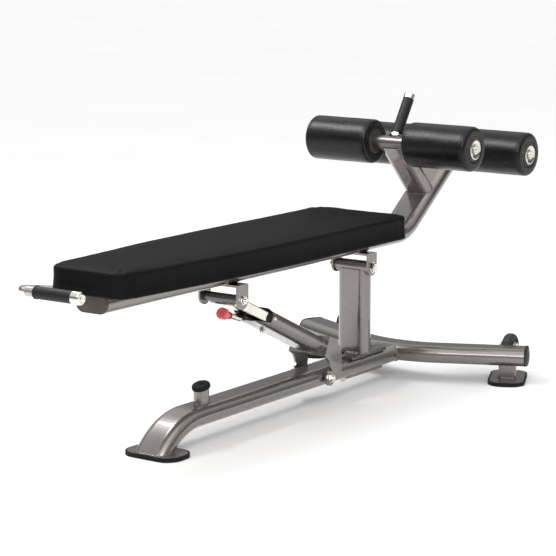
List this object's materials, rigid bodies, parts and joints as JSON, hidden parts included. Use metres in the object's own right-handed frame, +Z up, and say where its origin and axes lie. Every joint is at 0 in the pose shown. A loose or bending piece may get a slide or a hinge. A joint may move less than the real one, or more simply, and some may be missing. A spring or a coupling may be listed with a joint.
{
  "type": "adjustable sit-up bench",
  "caption": "Adjustable decline sit-up bench: padded board on a pivoting rail, foam knee and foot rollers, telescopic strut, T-shaped base with wheels.",
  "frame": {"origin": "on the floor, on the plane of symmetry, midway between the head handle and the foot rollers", "axes": "+X from the head end to the foot rollers, +Y to the user's left as seen along +X, +Z up"},
  "size_m": [1.8664, 0.7938, 0.8358],
  "materials": {
    "frame_paint": "glossy metallic pewter powder coat",
    "foot_plate_paint": "satin metallic pewter powder coat",
    "black_rubber": "matt moulded rubber",
    "grip_rubber": "satin hand grip",
    "chrome": "polished",
    "pivot_steel": "satin",
    "handle_steel": "satin",
    "roller_tube_paint": "dark metallic",
    "bronze": "sintered",
    "black_plastic": "fine texture",
    "cap_plastic": "fine texture",
    "wheel_plastic": "moulded",
    "plywood": "sanded birch plywood",
    "black_vinyl": "satin upholstery vinyl",
    "hub_plastic": "moulded",
    "red_plastic": "glossy, slightly translucent"
  },
  "bodies": {
    "base": {"main_beam": "frame_paint", "front_foot_plate": "foot_plate_paint", "front_foot_rubber": "black_rubber", "bump_post": "frame_paint", "bump_cap": "black_rubber", "column": "frame_paint", "column_base_plate": "frame_paint", "column_under_plate": "frame_paint", "column_bolts": "chrome", "pivot_tube": "frame_paint", "pivot_bushes": "bronze", "strut_cross_tube": "frame_paint", "strut_foot_bolt": "chrome", "rear_stabiliser": "frame_paint", "stabiliser_end_caps": "black_plastic", "rear_foot_legs": "frame_paint", "rear_foot_plates": "foot_plate_paint", "rear_foot_rubbers": "black_rubber", "wheel_brackets": "frame_paint", "wheel_bolts": "chrome"},
    "bench": {"bench_rail": "frame_paint", "rail_end_cap": "cap_plastic", "roller_upright": "frame_paint", "knee_arm": "frame_paint", "bench_pivot_bracket": "frame_paint", "bench_pivot_bolt": "chrome", "strut_top_bracket": "frame_paint", "strut_top_bolt": "chrome", "pad_brackets": "frame_paint", "pad_bolts": "chrome", "pad_board": "plywood", "pad_cushion": "black_vinyl", "head_handle_tube": "handle_steel", "head_handle_grip": "grip_rubber", "head_handle_cap": "chrome", "knee_roller_tube": "roller_tube_paint", "foot_roller_tube": "roller_tube_paint", "knee_handle_tube": "handle_steel", "knee_handle_grip": "grip_rubber", "knee_handle_cap": "chrome", "roller_end_caps": "chrome", "roller_end_bolts": "chrome"},
    "knee_roller_l": {"knee_roller_left": "black_vinyl", "roller_hubs_knee_left": "hub_plastic"},
    "knee_roller_r": {"knee_roller_right": "black_vinyl", "roller_hubs_knee_right": "hub_plastic"},
    "foot_roller_l": {"foot_roller_left": "black_vinyl", "roller_hubs_foot_left": "hub_plastic"},
    "foot_roller_r": {"foot_roller_right": "black_vinyl", "roller_hubs_foot_right": "hub_plastic"},
    "strut_outer": {"strut_sleeve": "frame_paint", "sleeve_bracket": "frame_paint", "strut_collar": "black_plastic", "pin_barrel": "chrome"},
    "strut_inner": {"strut_inner_tube": "chrome", "strut_pivot_tube": "pivot_steel"},
    "pull_pin": {"pull_knob": "red_plastic"},
    "lock_plunger": {"lock_pin": "chrome"},
    "wheel_l": {"wheel_left": "wheel_plastic"},
    "wheel_r": {"wheel_right": "wheel_plastic"}
  },
  "joints": [
    {"name": "bench_tilt", "type": "hinge", "parent": "base", "child": "bench", "pos_m": [0.338, 0, 0.36], "axis": [0, -1, 0], "range_deg": [0, 14.4]},
    {"name": "strut_swing", "type": "hinge", "parent": "base", "child": "strut_outer", "pos_m": [0.128, 0, 0.076], "axis": [0, -1, 0], "range_deg": [0, 18.2]},
    {"name": "strut_slide", "type": "slide", "parent": "strut_outer", "child": "strut_inner", "axis": [0.9033, 0, -0.4289], "range_m": [0, 0.09]},
    {"name": "pull_knob_slide", "type": "slide", "parent": "strut_outer", "child": "pull_pin", "axis": [-0.9466, 0, 0.3223], "range_m": [0, 0.012], "stiffness_N_per_m": 900, "springref_m": -0.006},
    {"name": "lock_pin_slide", "type": "slide", "parent": "strut_outer", "child": "lock_plunger", "axis": [-0.4289, 0, -0.9033], "range_m": [0, 0.0101]},
    {"name": "wheel_left_spin", "type": "hinge", "parent": "base", "child": "wheel_l", "pos_m": [0.738, 0.293, 0.091], "axis": [0, 1, 0], "continuous": true},
    {"name": "wheel_right_spin", "type": "hinge", "parent": "base", "child": "wheel_r", "pos_m": [0.738, -0.293, 0.091], "axis": [0, 1, 0], "continuous": true},
    {"name": "knee_roller_left_spin", "type": "hinge", "parent": "bench", "child": "knee_roller_l", "pos_m": [0.545, 0, 0.693], "axis": [0, 1, 0], "continuous": true},
    {"name": "knee_roller_right_spin", "type": "hinge", "parent": "bench", "child": "knee_roller_r", "pos_m": [0.545, 0, 0.693], "axis": [0, 1, 0], "continuous": true},
    {"name": "foot_roller_left_spin", "type": "hinge", "parent": "bench", "child": "foot_roller_l", "pos_m": [0.869, 0, 0.645], "axis": [0, 1, 0], "continuous": true},
    {"name": "foot_roller_right_spin", "type": "hinge", "parent": "bench", "child": "foot_roller_r", "pos_m": [0.869, 0, 0.645], "axis": [0, 1, 0], "continuous": true}
  ],
  "couplings": [
    {"joint": "strut_swing", "follows": "bench_tilt", "ratio": 1.24},
    {"joint": "strut_slide", "follows": "bench_tilt", "m_per_rad": 0.3525},
    {"joint": "lock_pin_slide", "follows": "pull_knob_slide", "ratio": 0.8333}
  ]
}
